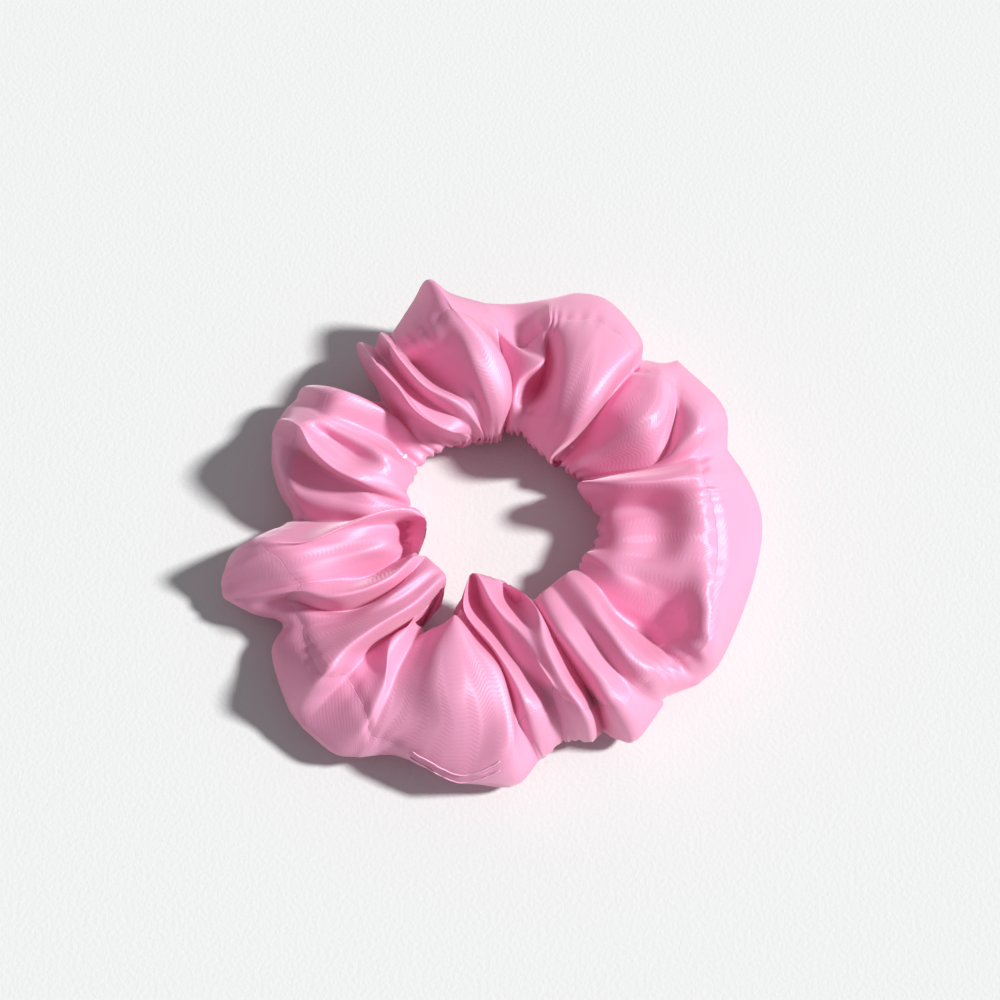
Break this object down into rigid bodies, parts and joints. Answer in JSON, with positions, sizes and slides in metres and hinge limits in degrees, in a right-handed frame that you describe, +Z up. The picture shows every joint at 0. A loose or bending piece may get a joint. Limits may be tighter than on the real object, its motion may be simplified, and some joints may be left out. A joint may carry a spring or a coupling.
{
  "type": "scrunchie",
  "caption": "Gathered satin tube over a braided elastic loop that stretches open to hold a ponytail.",
  "frame": {"origin": "on the table plane, under the middle of the scrunchie's bounding box", "axes": "+Z up out of the table, -Y the side that is pulled when the loop is stretched, +X to the right"},
  "size_m": [0.1104, 0.1082, 0.0279],
  "materials": {
    "satin": "satin",
    "thread": "satin",
    "braid": "matt",
    "latex": "matt",
    "join_thread": "matt"
  },
  "bodies": {
    "far_side": {"satin_cover_far": "satin", "long_seam_needle_thread_far": "thread", "long_seam_bobbin_thread_far": "thread", "elastic_braid": "braid", "elastic_rubber_cords": "latex", "elastic_join_needle_thread": "join_thread", "elastic_join_bobbin_thread": "join_thread"},
    "near_side": {"satin_cover_near": "satin", "long_seam_needle_thread_near": "thread", "long_seam_bobbin_thread_near": "thread", "end_seam_needle_thread": "thread", "end_seam_bobbin_thread": "thread", "closing_needle_thread": "thread", "closing_bobbin_thread": "thread"}
  },
  "joints": [
    {"name": "stretch", "type": "slide", "parent": "far_side", "child": "near_side", "axis": [0, -1, 0], "range_m": [0, 0.06], "stiffness_N_per_m": 40, "deforming": ["elastic_braid", "elastic_rubber_cords"]}
  ]
}
